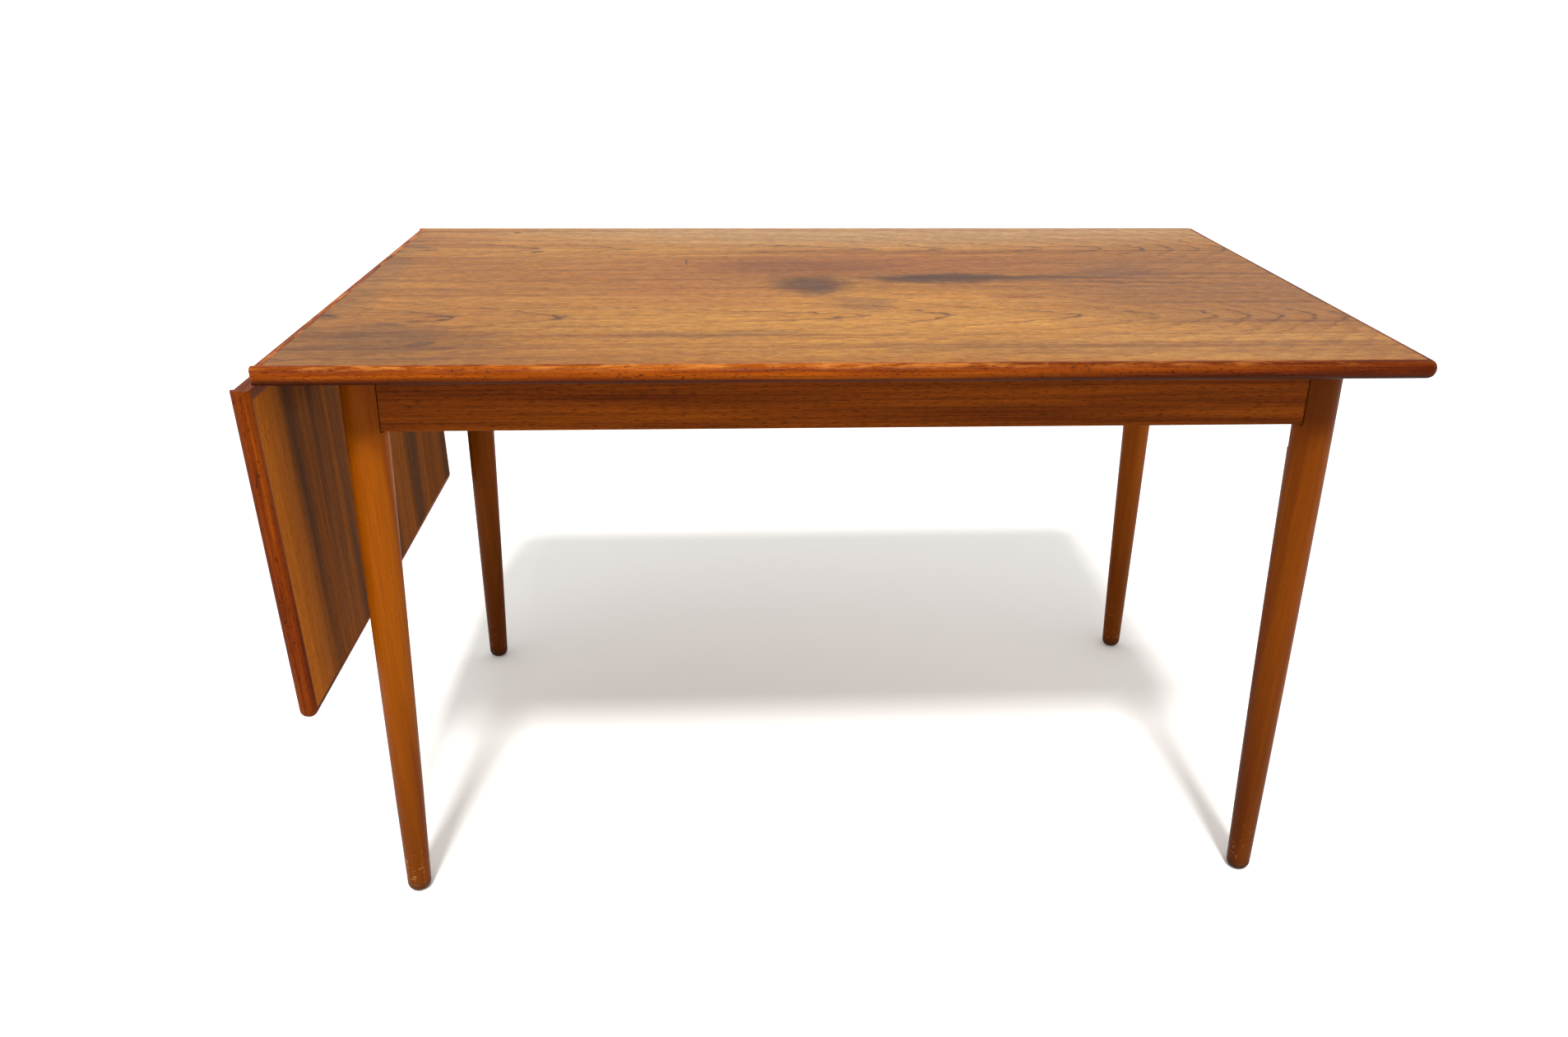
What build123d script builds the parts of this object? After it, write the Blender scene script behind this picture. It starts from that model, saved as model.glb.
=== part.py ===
"""Drop-leaf table: a veneered top with solid lippings, one end leaf on back-flap hinges,
four splayed turned legs bolted to an apron frame, and two pull-out slides for the leaf."""
from build123d import *
import os

os.makedirs("parts", exist_ok=True)

# Driving dimensions, in millimetres.
table_height = 730.0
top_length = 1220.0
top_width = 740.0
leaf_length = 393.0          # from the hinge edge to the free edge
board_thick = 19.6
veneer_thick = 0.8
lipping_width = 11.0
nose_flat = 1.6              # left straight between the two roundings of a free edge
plan_corner_ease = 1.5       # free corners, seen from above, are this much rounder than the edges
joint_corner_radius = 4.0    # corners beside the hinge joint, seen from above
joint_top_arris = 4.5        # rounding of the top edges beside the hinge joint
joint_low_arris = 1.5

leg_half_x = 527.0           # leg axes at the underside of the top
leg_half_y = 284.0
foot_half_x = 555.0          # leg axes at the floor
foot_half_y = 301.0
leg_head_radius = 23.5
leg_foot_radius = 15.0
leg_belly = 1.2              # how far the long taper swells outwards
foot_rounding = 11.0
foot_spare = 1.0             # turned longer than needed, then cut level at both ends
head_spare = 6.0
leg_flat = 18.0              # leg axis to the flats that face the aprons
leg_diagonal_flat = 19.0     # leg axis to the flat that the corner block bears on
leg_joint_gap = 1.0

apron_height = 73.0
apron_thick = 20.0
apron_set_out = 15.0         # leg axis to the outer face of the apron
planed_arris = 1.0           # edges of the aprons, the cross rail and the slides
cross_rail_height = 58.0
cross_rail_thick = 20.0
cross_rail_setback = 120.0   # left end apron to the cross rail
rail_dowel_drops = (42.5, 55.5)   # underside of the top to the dowels
break_through = 1.0          # a cutting tool runs past the far face by this

block_height = 58.0
block_drop = 5.0
block_thick = 30.0
bolt_radius = 4.0
bolt_drop = 34.0
bolt_in_leg = 34.0
bolt_proud = 14.0
washer_radius = 9.0
washer_thick = 1.6
nut_radius = 6.5
nut_thick = 8.0
wing_span = 34.0
wing_thick = 3.0
wing_height = 12.0
wing_lift = 1.0              # washer to the wings' lower edge
wing_root_height = 6.5

slide_width = 40.0
slide_height = 30.0
slide_length = 420.0
slide_half_gap = 150.0       # centre line to each slide's axis
slide_clearance = 0.5
slide_proud = 18.0           # how far a closed slide stands out of the end apron
peg_radius = 4.0
peg_proud = 10.0
peg_inset = 15.0
scoop_radius = 7.0           # finger scoop under the outer end

hinge_gap = 1.0              # between the top and the leaf when it is raised
hinge_width = 50.0
hinge_reach = 35.0
hinge_plate_thick = 1.6
hinge_half_gap = 210.0       # centre line to the outer hinges
hinge_near_screw = 16.0      # joint edge to the screw beside the knuckles
hinge_far_screws = 28.0      # joint edge to the pair of screws
hinge_screw_gap = 32.0       # between the screws of the pair
knuckle_count = 5
barrel_radius = 4.0
barrel_clearance = 0.5
plate_root = 1.6             # pin's axis to where a knuckle grows out of its plate
hinge_pin_radius = 1.5
running_clearance = 0.05
knuckle_end_clearance = 0.15
pin_head_radius = 2.3
pin_head_thick = 1.0

wood_screw_radius = 1.7
wood_screw_head_radius = 3.4
hinge_screw_length = 15.0
block_screw_length = 28.0
block_screw_seat = 13.0      # block left under each screw head
block_screw_offset = 38.0    # inside corner of the aprons to each screw
block_screw_rise = 36.0      # between the two screws of a pair
pan_head_radius = 4.0
pan_head_thick = 2.6

button_length = 28.0
button_width = 24.0
button_thick = 16.0
tongue_depth = 8.0
tongue_thick = 7.0
tongue_clearance = 1.0
button_screw_length = 28.0
long_button_gap = 327.0      # between buttons along a long apron
end_button_offset = 128.0    # centre line to the buttons at the plain end

dowel_radius = 4.0
dowel_length = 30.0

# Levels and places that follow from them.
nose_radius = (board_thick - nose_flat) / 2
plan_corner_radius = nose_radius + plan_corner_ease
under_z = table_height - board_thick
pin_drop = barrel_radius + barrel_clearance
hanging_reach = hinge_gap / 2 + pin_drop + board_thick   # table end to the leaf's outer face
frame_x = hanging_reach / 2                              # centres the whole outline on the origin
joint_x = frame_x - top_length / 2
pin_x = joint_x - hinge_gap / 2
pin_z = under_z - pin_drop
apron_outer_x = leg_half_x + apron_set_out
apron_inner_x = apron_outer_x - apron_thick
apron_outer_y = leg_half_y + apron_set_out
apron_inner_y = apron_outer_y - apron_thick
end_apron_face = frame_x - apron_outer_x
rail_x = frame_x - apron_inner_x + cross_rail_setback + cross_rail_thick / 2

up = Vector(0, 0, 1)
top_frame = Plane(origin=(joint_x, 0, under_z), x_dir=(1, 0, 0), z_dir=(0, 0, 1))
leaf_frame = Plane(
    origin=(pin_x - pin_drop, 0, pin_z - hinge_gap / 2), x_dir=(0, 0, -1), z_dir=(-1, 0, 0)
)

corners = {
    "front_left": (-1, -1),
    "front_right": (1, -1),
    "rear_left": (-1, 1),
    "rear_right": (1, 1),
}
hinge_rows = {"front": -hinge_half_gap, "centre": 0.0, "rear": hinge_half_gap}
slide_rows = {"front": -slide_half_gap, "rear": slide_half_gap}


def save(builder, name):
    """Labels a finished piece and writes it."""
    builder.part.label = name
    export_step(builder.part, f"parts/{name}.step")


def leg_head(sx, sy):
    """Plane on a leg's axis at the underside: z up the leg, x away from the table's middle."""
    head = Vector(frame_x + sx * leg_half_x, sy * leg_half_y, under_z)
    foot = Vector(frame_x + sx * foot_half_x, sy * foot_half_y, 0)
    return Plane(origin=head, x_dir=(sx, 0, 0), z_dir=head - foot)


def bolt_axis(sx, sy):
    """Plane on a leg's axis at the bolt: z runs inwards along the hanger bolt."""
    head = leg_head(sx, sy)
    inward = -head.x_dir - head.y_dir * (sx * sy)
    return Plane(origin=head.origin - head.z_dir * bolt_drop, x_dir=head.z_dir, z_dir=inward)


def facing(frame, at, normal, x_dir):
    """Plane at a point of a board, with directions given in the board's own axes."""
    origin = frame.from_local_coords(Vector(*at))
    z_dir = frame.x_dir * normal[0] + frame.y_dir * normal[1] + frame.z_dir * normal[2]
    x_axis = frame.x_dir * x_dir[0] + frame.y_dir * x_dir[1] + frame.z_dir * x_dir[2]
    return Plane(origin=origin, x_dir=x_axis, z_dir=z_dir)


def round_nosed_blank(frame, length):
    """Adds a whole board with rounded free edges and corners; its joint end is cut square."""
    spare = 2 * plan_corner_radius
    with BuildSketch(frame) as outline:
        with Locations(((length - spare) / 2, 0)):
            RectangleRounded(length + spare, top_width, plan_corner_radius)
    extrude(outline.sketch, amount=board_thick)
    rims = [face.edges() for face in faces().filter_by(frame)]
    fillet([edge for rim in rims for edge in rim], nose_radius)
    split(bisect_by=facing(frame, (0, 0, 0), (1, 0, 0), (0, 0, 1)), keep=Keep.TOP)


def ease_lower_edges(axis):
    """Rounds a rail's two long lower edges."""
    fillet(faces().sort_by(Axis.Z)[0].edges().filter_by(axis), planed_arris)


def drill_up(plane, points, radius, depth):
    """Drills round holes from a plane along its normal."""
    with BuildSketch(plane) as holes:
        with Locations(*points):
            Circle(radius)
    extrude(holes.sketch, amount=depth, mode=Mode.SUBTRACT)


# Hinge screws, in a board's own axes: one near the knuckles and two at the far end.
hinge_screw_points = [
    (reach, row + aside)
    for row in hinge_rows.values()
    for reach, aside in (
        (hinge_near_screw, 0.0),
        (hinge_far_screws, -hinge_screw_gap / 2),
        (hinge_far_screws, hinge_screw_gap / 2),
    )
]

# Wooden buttons hook the aprons to the top: each plane is on an apron's inner face,
# with x towards the middle of the table.
long_button_planes = {
    side: [
        Plane(
            origin=(frame_x + step * long_button_gap, sy * apron_inner_y, under_z),
            x_dir=(0, -sy, 0),
            z_dir=(0, 0, 1),
        )
        for step in (-1, 0, 1)
    ]
    for side, sy in (("front", -1), ("rear", 1))
}
end_button_planes = {
    side: [
        Plane(
            origin=(frame_x + sx * apron_inner_x, step * end_button_offset, under_z),
            x_dir=(-sx, 0, 0),
            z_dir=(0, 0, 1),
        )
        for step in steps
    ]
    for side, sx, steps in (("left", -1, (0,)), ("right", 1, (-1, 1)))
}
button_planes = [
    plane
    for planes in (*long_button_planes.values(), *end_button_planes.values())
    for plane in planes
]
button_screw_x = button_length / 2
button_screw_points = [
    top_frame.to_local_coords(plane.from_local_coords(Vector(button_screw_x, 0, 0)))
    for plane in button_planes
]

# The top and the leaf are made alike: core, two veneers and four lippings.
boards = {
    "top": (top_frame, top_length, {"front": -1, "rear": 1}, button_screw_points),
    "leaf": (leaf_frame, leaf_length, {"front": 1, "rear": -1}, []),
}
for board, (frame, length, sides, extra_points) in boards.items():
    inner_length = length - 2 * lipping_width
    inner_width = top_width - 2 * lipping_width
    sheets = {
        "core": (veneer_thick, board_thick - 2 * veneer_thick),
        "veneer": (board_thick - veneer_thick, veneer_thick),
        "backing_veneer": (0.0, veneer_thick),
    }
    for sheet, (level, thick) in sheets.items():
        with BuildPart() as panel:
            with BuildSketch(frame.offset(level)):
                with Locations((length / 2, 0)):
                    Rectangle(inner_length, inner_width)
            extrude(amount=thick)
            if sheet != "veneer":
                screw_depth = hinge_screw_length - hinge_plate_thick
                drill_up(frame, hinge_screw_points, wood_screw_radius, screw_depth)
                if extra_points:
                    extra_depth = button_screw_length - button_thick
                    spots = [(point.X, point.Y) for point in extra_points]
                    drill_up(frame, spots, wood_screw_radius, extra_depth)
        save(panel, f"{board}_{sheet}")

    with BuildPart() as blank:
        round_nosed_blank(frame, length)

    inner_u = length - lipping_width
    for side, sy in sides.items():
        inner_v = sy * inner_width / 2
        outer_v = sy * top_width / 2
        with BuildPart() as side_lipping:
            add(blank.part)
            with BuildSketch(frame) as strip:
                with BuildLine():
                    Polyline((0, inner_v), (inner_u, inner_v), (length, outer_v), (0, outer_v), close=True)
                make_face()
                fillet(strip.vertices().sort_by_distance((0, outer_v))[0], joint_corner_radius)
            extrude(strip.sketch, amount=board_thick, mode=Mode.INTERSECT)
        save(side_lipping, f"{board}_{side}_lipping")

    with BuildPart() as end_lipping:
        add(blank.part)
        with BuildSketch(frame) as strip:
            with BuildLine():
                Polyline(
                    (inner_u, -inner_width / 2),
                    (length, -top_width / 2),
                    (length, top_width / 2),
                    (inner_u, inner_width / 2),
                    close=True,
                )
            make_face()
        extrude(strip.sketch, amount=board_thick, mode=Mode.INTERSECT)
    save(end_lipping, f"{board}_end_lipping")

    with BuildPart() as joint_lipping:
        with BuildSketch(facing(frame, (0, 0, 0), (0, -1, 0), (1, 0, 0))):
            with Locations((lipping_width / 2, board_thick / 2)):
                outline = Rectangle(lipping_width, board_thick)
            outer = outline.vertices().sort_by(Axis.X)[:2]
            fillet(outer.sort_by(Axis.Y)[-1], joint_top_arris)
            fillet(outer.sort_by(Axis.Y)[0], joint_low_arris)
        extrude(amount=inner_width / 2, both=True)
    save(joint_lipping, f"{board}_joint_lipping")

# Each board's hinge plates, their screws, and the pins.
segment = hinge_width / knuckle_count
plate_start = pin_drop + barrel_clearance


def hinge_plate(frame, row, segments):
    """Adds a plate screwed under a board, with its own share of the knuckles."""
    plate_length = hinge_reach - plate_start
    with BuildSketch(frame.offset(-hinge_plate_thick)) as plate:
        with Locations((plate_start + plate_length / 2, row)):
            Rectangle(plate_length, hinge_width)
    extrude(plate.sketch, amount=hinge_plate_thick)
    for index in segments:
        middle = row + (index + 0.5) * segment - hinge_width / 2
        section_plane = facing(frame, (-hinge_gap / 2, middle, -pin_drop), (0, -1, 0), (1, 0, 0))
        strap_length = plate_start + hinge_gap / 2 - plate_root
        with BuildSketch(section_plane) as section:
            Circle(barrel_radius)
            with Locations((plate_root + strap_length / 2, pin_drop - hinge_plate_thick / 2)):
                Rectangle(strap_length, hinge_plate_thick)
            Circle(hinge_pin_radius + running_clearance, mode=Mode.SUBTRACT)
        extrude(section.sketch, amount=segment / 2 - knuckle_end_clearance, both=True)
    seats = [point for point in hinge_screw_points if abs(point[1] - row) < hinge_width / 2]
    with Locations(*[frame.offset(-hinge_plate_thick) * Pos(*point) for point in seats]):
        Cone(
            wood_screw_head_radius,
            wood_screw_radius,
            hinge_plate_thick,
            align=(Align.CENTER, Align.CENTER, Align.MIN),
            mode=Mode.SUBTRACT,
        )


for row_name, row in hinge_rows.items():
    for board, frame, segments in (("top", top_frame, (0, 2, 4)), ("leaf", leaf_frame, (1, 3))):
        with BuildPart() as plate:
            local_row = row if board == "top" else -row
            hinge_plate(frame, local_row, segments)
        save(plate, f"{board}_hinge_plate_{row_name}")

for board, frame in (("top", top_frame), ("leaf", leaf_frame)):
    with BuildPart() as hinge_screws:
        base = frame.offset(-hinge_plate_thick)
        with Locations(*[base * Pos(*point) for point in hinge_screw_points]):
            Cone(
                wood_screw_head_radius,
                wood_screw_radius,
                hinge_plate_thick,
                align=(Align.CENTER, Align.CENTER, Align.MIN),
            )
            Cylinder(
                wood_screw_radius,
                hinge_screw_length,
                align=(Align.CENTER, Align.CENTER, Align.MIN),
            )
    save(hinge_screws, f"{board}_hinge_screws")

with BuildPart() as hinge_pins:
    for row in hinge_rows.values():
        pin_plane = Plane(origin=(pin_x, row, pin_z), x_dir=(1, 0, 0), z_dir=(0, -1, 0))
        with BuildSketch(pin_plane):
            Circle(hinge_pin_radius)
        extrude(amount=hinge_width / 2, both=True)
        head_starts = (hinge_width / 2, -hinge_width / 2 - pin_head_thick)
        with BuildSketch(*[pin_plane.offset(start) for start in head_starts]):
            Circle(pin_head_radius)
        extrude(amount=pin_head_thick)
save(hinge_pins, "hinge_pins")

# Turned legs: a long swelling taper, a rounded foot, two flats for the aprons and one for the block.
for corner, (sx, sy) in corners.items():
    head = leg_head(sx, sy)
    out_y = sx * sy
    leg_length = (head.origin - Vector(frame_x + sx * foot_half_x, sy * foot_half_y, 0)).length
    foot_end = -leg_length - foot_spare
    taper_start = foot_end + foot_rounding
    taper_middle = (leg_head_radius + leg_foot_radius) / 2 + leg_belly
    toe = foot_rounding * (1 - 2**-0.5)
    section_plane = Plane(origin=head.origin, x_dir=head.x_dir, z_dir=-head.y_dir)
    flat_length = apron_height + leg_joint_gap
    with BuildPart() as leg:
        with BuildSketch(section_plane):
            with BuildLine():
                Polyline((leg_head_radius, head_spare), (0, head_spare), (0, foot_end))
                Line((0, foot_end), (leg_foot_radius - foot_rounding, foot_end))
                ThreePointArc(
                    (leg_foot_radius - foot_rounding, foot_end),
                    (leg_foot_radius - toe, foot_end + toe),
                    (leg_foot_radius, taper_start),
                )
                ThreePointArc(
                    (leg_foot_radius, taper_start),
                    (taper_middle, (taper_start + head_spare) / 2),
                    (leg_head_radius, head_spare),
                )
            make_face()
        revolve(axis=Axis(head.origin, head.z_dir))
        with BuildSketch(head.offset(-flat_length)):
            with Locations((-leg_flat - leg_head_radius, 0)):
                Rectangle(2 * leg_head_radius, 4 * leg_head_radius)
            with Locations((0, -out_y * (leg_flat + leg_head_radius))):
                Rectangle(4 * leg_head_radius, 2 * leg_head_radius)
        extrude(amount=flat_length + head_spare, mode=Mode.SUBTRACT)
        bolt_plane = bolt_axis(sx, sy)
        with BuildSketch(bolt_plane.offset(leg_diagonal_flat)):
            Rectangle(2 * flat_length, 4 * leg_head_radius)
        extrude(amount=leg_head_radius, mode=Mode.SUBTRACT)
        with BuildSketch(bolt_plane.offset(leg_diagonal_flat - bolt_in_leg)):
            Circle(bolt_radius)
        extrude(amount=bolt_in_leg + break_through, mode=Mode.SUBTRACT)
        split(bisect_by=Plane.XY.offset(under_z), keep=Keep.BOTTOM)
        split(bisect_by=Plane.XY, keep=Keep.TOP)
    save(leg, f"{corner}_leg")


def apron_end(sx, sy, along):
    """Plane that an apron's end is cut on, a joint's gap from the leg's flat."""
    head = leg_head(sx, sy)
    outward = head.x_dir if along == "x" else head.y_dir * (sx * sy)
    return Plane(origin=head.origin - outward * (leg_flat + leg_joint_gap), z_dir=outward)


def block_screw_planes(sx, sy):
    """Seats of one corner block's screws, each plane's normal pointing into an apron."""
    corner = Vector(frame_x + sx * apron_inner_x, sy * apron_inner_y, 0)
    middle_z = under_z - bolt_drop
    planes = {"x": [], "y": []}
    for rise in (-block_screw_rise / 2, block_screw_rise / 2):
        level = Vector(0, 0, middle_z + rise)
        along_x = Vector(-sx * block_screw_offset, -sy * block_screw_seat, 0)
        along_y = Vector(-sx * block_screw_seat, -sy * block_screw_offset, 0)
        planes["x"].append(Plane(origin=corner + along_x + level, z_dir=(0, sy, 0)))
        planes["y"].append(Plane(origin=corner + along_y + level, z_dir=(sx, 0, 0)))
    return planes


def button_mortises(planes):
    """Cuts the short mortises that the buttons' tongues hook into."""
    for plane in planes:
        with BuildSketch(plane.offset(-button_thick - tongue_clearance)) as mortise:
            depth = tongue_depth + tongue_clearance
            with Locations((-depth / 2, 0)):
                Rectangle(depth, button_width + 2 * tongue_clearance)
        extrude(mortise.sketch, amount=tongue_thick + tongue_clearance, mode=Mode.SUBTRACT)


# Long aprons.
rail_z = under_z - slide_clearance - slide_height
rail_dowels = [(0, under_z - drop) for drop in rail_dowel_drops]
for side, sy in (("front", -1), ("rear", 1)):
    with BuildPart() as apron:
        with BuildSketch(Plane.XY.offset(under_z - apron_height)):
            with Locations((frame_x, sy * (apron_inner_y + apron_thick / 2))):
                Rectangle(2 * foot_half_x, apron_thick)
        extrude(amount=apron_height)
        ease_lower_edges(Axis.X)
        for sx in (-1, 1):
            split(bisect_by=apron_end(sx, sy, "x"), keep=Keep.BOTTOM)
            for seat in block_screw_planes(sx, sy)["x"]:
                drill_up(seat, [(0, 0)], wood_screw_radius, block_screw_length)
        button_mortises(long_button_planes[side])
        inner_face = Plane(origin=(rail_x, sy * apron_inner_y, 0), x_dir=(-sy, 0, 0), z_dir=(0, sy, 0))
        drill_up(inner_face, rail_dowels, dowel_radius, dowel_length / 2)
    save(apron, f"{side}_apron")


def slide_notches(x_middle, thick):
    """Cuts the two notches, open at the top, that the slides run in."""
    with BuildSketch(Plane.XY.offset(rail_z - slide_clearance)) as notches:
        with Locations(*[(x_middle, row) for row in slide_rows.values()]):
            Rectangle(2 * thick, slide_width + 2 * slide_clearance)
    extrude(notches.sketch, amount=2 * slide_height, mode=Mode.SUBTRACT)


# End aprons; the slides come out through the left one.
for side, sx in (("left", -1), ("right", 1)):
    middle_x = frame_x + sx * (apron_inner_x + apron_thick / 2)
    with BuildPart() as apron:
        with BuildSketch(Plane.XY.offset(under_z - apron_height)):
            with Locations((middle_x, 0)):
                Rectangle(apron_thick, 2 * foot_half_y)
        extrude(amount=apron_height)
        ease_lower_edges(Axis.Y)
        for sy in (-1, 1):
            split(bisect_by=apron_end(sx, sy, "y"), keep=Keep.BOTTOM)
            for seat in block_screw_planes(sx, sy)["y"]:
                drill_up(seat, [(0, 0)], wood_screw_radius, block_screw_length)
        button_mortises(end_button_planes[side])
        if side == "left":
            slide_notches(middle_x, apron_thick)
    save(apron, f"{side}_apron")

# The cross rail carries the inner ends of the slides and is dowelled to the long aprons.
with BuildPart() as cross_rail:
    with BuildSketch(Plane.XY.offset(under_z - apron_height)):
        with Locations((rail_x, 0)):
            Rectangle(cross_rail_thick, 2 * apron_inner_y)
    extrude(amount=cross_rail_height)
    ease_lower_edges(Axis.Y)
    slide_notches(rail_x, cross_rail_thick)
    for sy in (-1, 1):
        end_face = Plane(origin=(rail_x, sy * apron_inner_y, 0), x_dir=(sy, 0, 0), z_dir=(0, -sy, 0))
        drill_up(end_face, rail_dowels, dowel_radius, dowel_length / 2)
save(cross_rail, "cross_rail")

with BuildPart() as cross_rail_dowels:
    for sy in (-1, 1):
        end_face = Plane(origin=(rail_x, sy * apron_inner_y, 0), x_dir=(sy, 0, 0), z_dir=(0, -sy, 0))
        with BuildSketch(end_face):
            with Locations(*rail_dowels):
                Circle(dowel_radius)
        extrude(amount=dowel_length / 2, both=True)
save(cross_rail_dowels, "cross_rail_dowels")

# Corner blocks, each between the leg's diagonal flat and the wing nut.
block_reach = 2 * (block_thick + leg_diagonal_flat) * 2**0.5
for corner, (sx, sy) in corners.items():
    inside = (frame_x + sx * apron_inner_x, sy * apron_inner_y)
    bolt_plane = bolt_axis(sx, sy)
    with BuildPart() as block:
        with BuildSketch(Plane.XY.offset(under_z - block_drop - block_height)):
            with BuildLine():
                Polyline(
                    inside,
                    (inside[0] - sx * block_reach, inside[1]),
                    (inside[0], inside[1] - sy * block_reach),
                    close=True,
                )
            make_face()
        extrude(amount=block_height)
        split(bisect_by=bolt_plane.offset(leg_diagonal_flat), keep=Keep.TOP)
        split(bisect_by=bolt_plane.offset(leg_diagonal_flat + block_thick), keep=Keep.BOTTOM)
        drill_up(bolt_plane, [(0, 0)], bolt_radius, leg_diagonal_flat + block_thick + break_through)
        for seats in block_screw_planes(sx, sy).values():
            for seat in seats:
                drill_up(seat, [(0, 0)], wood_screw_radius, block_screw_seat + break_through)
                driver_way = Plane(origin=seat.origin, z_dir=-seat.z_dir)
                drill_up(driver_way, [(0, 0)], pan_head_radius + slide_clearance, block_thick)
    save(block, f"{corner}_corner_block")

with BuildPart() as corner_block_screws:
    for sx, sy in corners.values():
        for seats in block_screw_planes(sx, sy).values():
            for seat in seats:
                with BuildSketch(seat):
                    Circle(wood_screw_radius)
                extrude(amount=block_screw_length)
                with BuildSketch(seat.offset(-pan_head_thick)):
                    Circle(pan_head_radius)
                extrude(amount=pan_head_thick)
save(corner_block_screws, "corner_block_screws")

# Hanger bolts, washers and wing nuts.
block_face = leg_diagonal_flat + block_thick
with BuildPart() as hanger_bolts:
    for sx, sy in corners.values():
        with BuildSketch(bolt_axis(sx, sy).offset(leg_diagonal_flat - bolt_in_leg)):
            Circle(bolt_radius)
        extrude(amount=bolt_in_leg + block_thick + bolt_proud)
save(hanger_bolts, "hanger_bolts")

with BuildPart() as washers:
    for sx, sy in corners.values():
        with BuildSketch(bolt_axis(sx, sy).offset(block_face)):
            Circle(washer_radius)
            Circle(bolt_radius, mode=Mode.SUBTRACT)
        extrude(amount=washer_thick)
save(washers, "washers")

with BuildPart() as wing_nuts:
    for sx, sy in corners.values():
        nut_base = bolt_axis(sx, sy).offset(block_face + washer_thick)
        with BuildSketch(nut_base):
            Circle(nut_radius)
        extrude(amount=nut_thick)
        wings = Plane(origin=nut_base.origin, x_dir=nut_base.y_dir, z_dir=nut_base.x_dir)
        with BuildSketch(wings):
            with BuildLine():
                Polyline(
                    (-nut_radius / 2, wing_lift),
                    (nut_radius / 2, wing_lift),
                    (wing_span / 2, wing_height / 2),
                    (wing_span / 2, wing_height),
                    (nut_radius, wing_root_height),
                    (-nut_radius, wing_root_height),
                    (-wing_span / 2, wing_height),
                    (-wing_span / 2, wing_height / 2),
                    close=True,
                )
            make_face()
        extrude(amount=wing_thick / 2, both=True)
        drill_up(nut_base, [(0, 0)], bolt_radius, wing_height)
save(wing_nuts, "wing_nuts")

# Buttons and their screws.
with BuildPart() as top_buttons:
    for plane in button_planes:
        with BuildSketch(plane.offset(-button_thick)):
            with Locations((button_length / 2, 0)):
                Rectangle(button_length, button_width)
        extrude(amount=button_thick)
        with BuildSketch(plane.offset(-button_thick)):
            with Locations((-tongue_depth / 2, 0)):
                Rectangle(tongue_depth, button_width)
        extrude(amount=tongue_thick)
        drill_up(plane.offset(-button_thick), [(button_screw_x, 0)], wood_screw_radius, button_thick)
save(top_buttons, "top_buttons")

with BuildPart() as top_button_screws:
    for plane in button_planes:
        with BuildSketch(plane.offset(-button_thick)):
            with Locations((button_screw_x, 0)):
                Circle(wood_screw_radius)
        extrude(amount=button_screw_length)
        with BuildSketch(plane.offset(-button_thick - pan_head_thick)):
            with Locations((button_screw_x, 0)):
                Circle(pan_head_radius)
        extrude(amount=pan_head_thick)
save(top_button_screws, "top_button_screws")

# Pull-out slides, closed, with a finger scoop under the outer end and two stop pegs each.
slide_end = end_apron_face - slide_proud
rail_outer_x = rail_x - cross_rail_thick / 2
peg_points = (rail_outer_x - peg_radius - slide_clearance, slide_end + slide_length - peg_inset)
for side, row in slide_rows.items():
    with BuildPart() as slide:
        with BuildSketch(Plane.XY.offset(rail_z)):
            with Locations((slide_end + slide_length / 2, row)):
                Rectangle(slide_length, slide_width)
        extrude(amount=slide_height)
        fillet(edges().filter_by(Axis.X) + faces().sort_by(Axis.X)[0].edges(), planed_arris)
        with BuildSketch(Plane(origin=(0, row, 0), x_dir=(1, 0, 0), z_dir=(0, -1, 0))):
            with Locations((slide_end + slide_proud / 2, rail_z)):
                Circle(scoop_radius)
        extrude(amount=slide_width, both=True, mode=Mode.SUBTRACT)
        drill_up(Plane.XY.offset(rail_z), [(x, row) for x in peg_points], peg_radius, peg_proud)
    save(slide, f"{side}_slide")

    with BuildPart() as pegs:
        with BuildSketch(Plane.XY.offset(rail_z - peg_proud)):
            with Locations(*[(x, row) for x in peg_points]):
                Circle(peg_radius)
        extrude(amount=2 * peg_proud)
    save(pegs, f"{side}_slide_pegs")
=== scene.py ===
import math

import bmesh
import bpy
import numpy as np
from mathutils import Matrix, Vector


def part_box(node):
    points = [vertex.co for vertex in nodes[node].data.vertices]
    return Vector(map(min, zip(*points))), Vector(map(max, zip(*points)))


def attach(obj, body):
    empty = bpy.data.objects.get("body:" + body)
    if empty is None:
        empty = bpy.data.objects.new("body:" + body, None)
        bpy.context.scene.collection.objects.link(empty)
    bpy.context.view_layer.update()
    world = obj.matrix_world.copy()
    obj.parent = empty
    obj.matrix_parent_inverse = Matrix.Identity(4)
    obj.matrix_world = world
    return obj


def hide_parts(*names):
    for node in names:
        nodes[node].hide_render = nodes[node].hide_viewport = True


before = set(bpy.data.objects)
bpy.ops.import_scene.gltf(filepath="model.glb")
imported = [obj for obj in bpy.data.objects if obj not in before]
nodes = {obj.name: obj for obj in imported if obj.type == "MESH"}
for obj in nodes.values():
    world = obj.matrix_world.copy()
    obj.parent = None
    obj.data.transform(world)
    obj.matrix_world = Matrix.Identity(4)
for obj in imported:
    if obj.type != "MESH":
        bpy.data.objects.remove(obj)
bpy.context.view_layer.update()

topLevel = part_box("top_veneer")[1][2]            # height of the veneered face
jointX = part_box("top_joint_lipping")[0][0]       # end of the top, beside the hinges
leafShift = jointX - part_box("leaf_joint_lipping")[1][2]   # carries the top's figure on down the leaf
print("frame loaded:", len(nodes), "nodes")


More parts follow.
